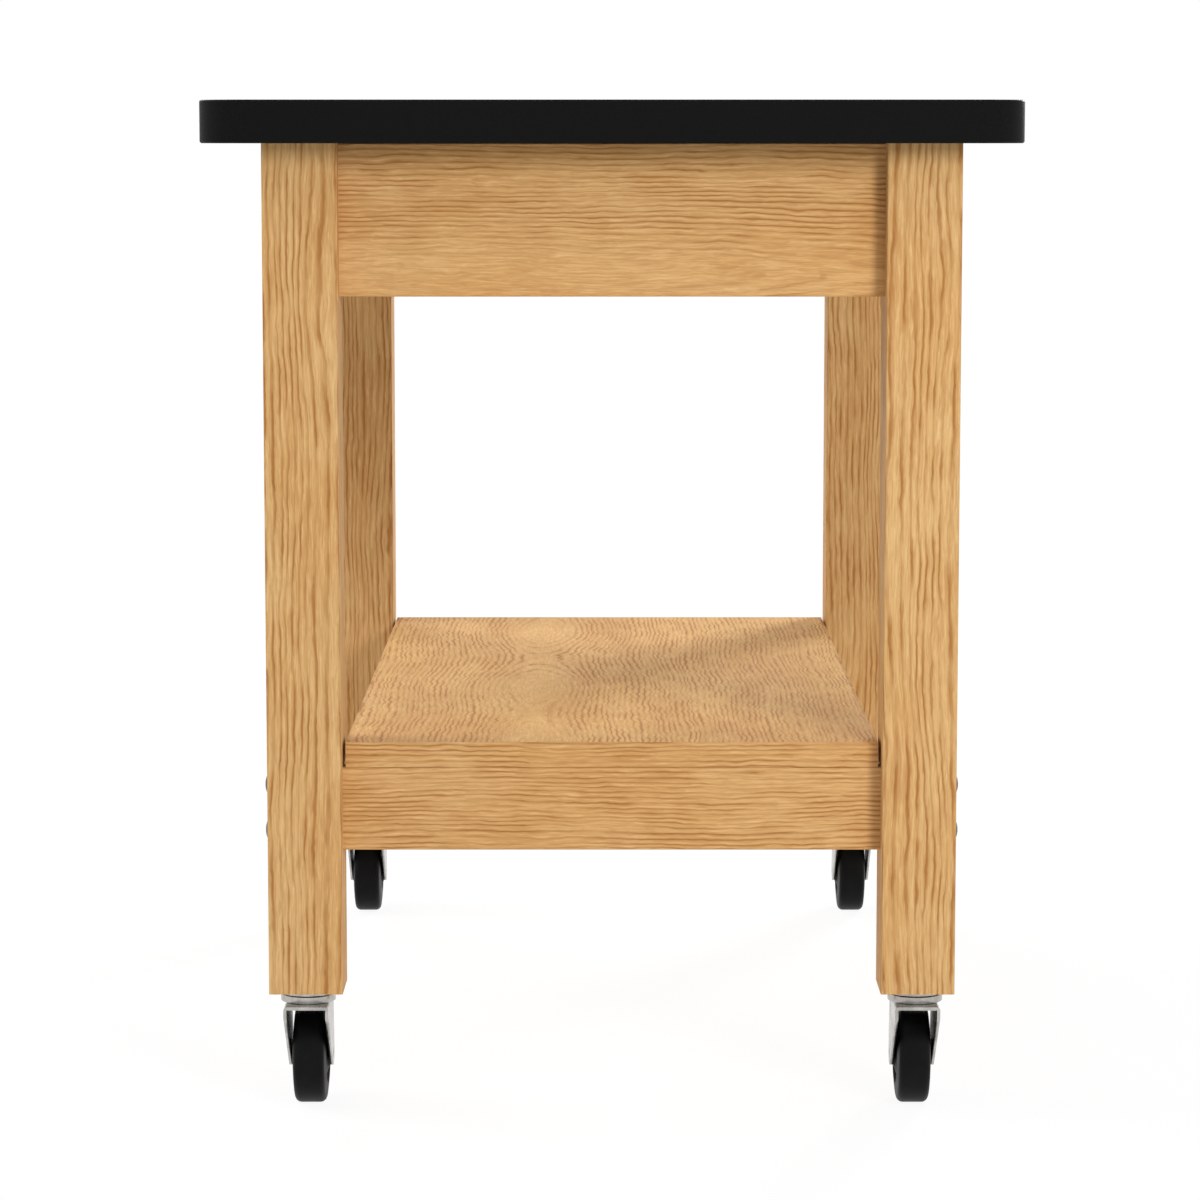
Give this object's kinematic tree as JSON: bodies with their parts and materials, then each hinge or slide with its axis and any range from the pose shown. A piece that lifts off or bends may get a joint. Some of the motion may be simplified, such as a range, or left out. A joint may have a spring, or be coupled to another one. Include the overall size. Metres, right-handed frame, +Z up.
{
  "type": "demonstration cart",
  "caption": "Mobile demonstration cart with a dark slab worktop, square wooden legs, an apron, a low shelf on end rails and swivel stem casters.",
  "frame": {"origin": "On the floor at the centre of the worktop's outline, at the base of the whole cart.", "axes": "+X to the right across the cart, +Y along the cart from the front end in the picture to the rear, +Z up."},
  "size_m": [0.6096, 0.9144, 0.77],
  "materials": {
    "black_laminate": "satin black laboratory laminate",
    "oak_leg": "clear satin lacquer, grain upright",
    "oak_end_board": "clear satin lacquer, grain across the cart",
    "oak_side_board": "clear satin lacquer, grain along the cart",
    "oak_shelf": "clear satin lacquer, plain-sawn veneer along the cart",
    "dark_bolt": "dark bronze plated",
    "plain_steel": "zinc plated sheet",
    "zinc_steel": "bright zinc plate",
    "black_rubber": "matt black hard rubber"
  },
  "bodies": {
    "cart": {"apron_front": "oak_end_board", "apron_left": "oak_side_board", "apron_rear": "oak_end_board", "apron_right": "oak_side_board", "bracket_front_left": "plain_steel", "bracket_front_right": "plain_steel", "bracket_rear_left": "plain_steel", "bracket_rear_right": "plain_steel", "caster_cap_front_left": "zinc_steel", "caster_cap_front_right": "zinc_steel", "caster_cap_rear_left": "zinc_steel", "caster_cap_rear_right": "zinc_steel", "caster_stem_front_left": "zinc_steel", "caster_stem_front_right": "zinc_steel", "caster_stem_rear_left": "zinc_steel", "caster_stem_rear_right": "zinc_steel", "leg_front_left": "oak_leg", "leg_front_right": "oak_leg", "leg_rear_left": "oak_leg", "leg_rear_right": "oak_leg", "lower_rail_front": "oak_end_board", "lower_rail_rear": "oak_end_board", "rail_bolts": "dark_bolt", "shelf_band_front": "oak_end_board", "shelf_band_left": "oak_side_board", "shelf_band_rear": "oak_end_board", "shelf_band_right": "oak_side_board", "shelf_clips": "plain_steel", "shelf_panel": "oak_shelf", "top_clips": "plain_steel", "worktop": "black_laminate"},
    "swivel_front_left": {"caster_race_front_left": "zinc_steel", "caster_fork_front_left": "zinc_steel", "caster_axle_front_left": "zinc_steel"},
    "wheel_front_left": {"caster_wheel_front_left": "black_rubber"},
    "swivel_front_right": {"caster_race_front_right": "zinc_steel", "caster_fork_front_right": "zinc_steel", "caster_axle_front_right": "zinc_steel"},
    "wheel_front_right": {"caster_wheel_front_right": "black_rubber"},
    "swivel_rear_left": {"caster_race_rear_left": "zinc_steel", "caster_fork_rear_left": "zinc_steel", "caster_axle_rear_left": "zinc_steel"},
    "wheel_rear_left": {"caster_wheel_rear_left": "black_rubber"},
    "swivel_rear_right": {"caster_race_rear_right": "zinc_steel", "caster_fork_rear_right": "zinc_steel", "caster_axle_rear_right": "zinc_steel"},
    "wheel_rear_right": {"caster_wheel_rear_right": "black_rubber"}
  },
  "joints": [
    {"name": "swivel_front_left", "type": "hinge", "parent": "cart", "child": "swivel_front_left", "pos_m": [-0.23235, -0.38475, 0.0893], "axis": [0, 0, 1], "continuous": true},
    {"name": "roll_front_left", "type": "hinge", "parent": "swivel_front_left", "child": "wheel_front_left", "pos_m": [-0.23235, -0.35725, 0.0381], "axis": [1, 0, 0], "continuous": true},
    {"name": "swivel_front_right", "type": "hinge", "parent": "cart", "child": "swivel_front_right", "pos_m": [0.23235, -0.38475, 0.0893], "axis": [0, 0, 1], "continuous": true},
    {"name": "roll_front_right", "type": "hinge", "parent": "swivel_front_right", "child": "wheel_front_right", "pos_m": [0.23235, -0.35725, 0.0381], "axis": [1, 0, 0], "continuous": true},
    {"name": "swivel_rear_left", "type": "hinge", "parent": "cart", "child": "swivel_rear_left", "pos_m": [-0.23235, 0.38475, 0.0893], "axis": [0, 0, 1], "continuous": true},
    {"name": "roll_rear_left", "type": "hinge", "parent": "swivel_rear_left", "child": "wheel_rear_left", "pos_m": [-0.23235, 0.41225, 0.0381], "axis": [1, 0, 0], "continuous": true},
    {"name": "swivel_rear_right", "type": "hinge", "parent": "cart", "child": "swivel_rear_right", "pos_m": [0.23235, 0.38475, 0.0893], "axis": [0, 0, 1], "continuous": true},
    {"name": "roll_rear_right", "type": "hinge", "parent": "swivel_rear_right", "child": "wheel_rear_right", "pos_m": [0.23235, 0.41225, 0.0381], "axis": [1, 0, 0], "continuous": true}
  ]
}
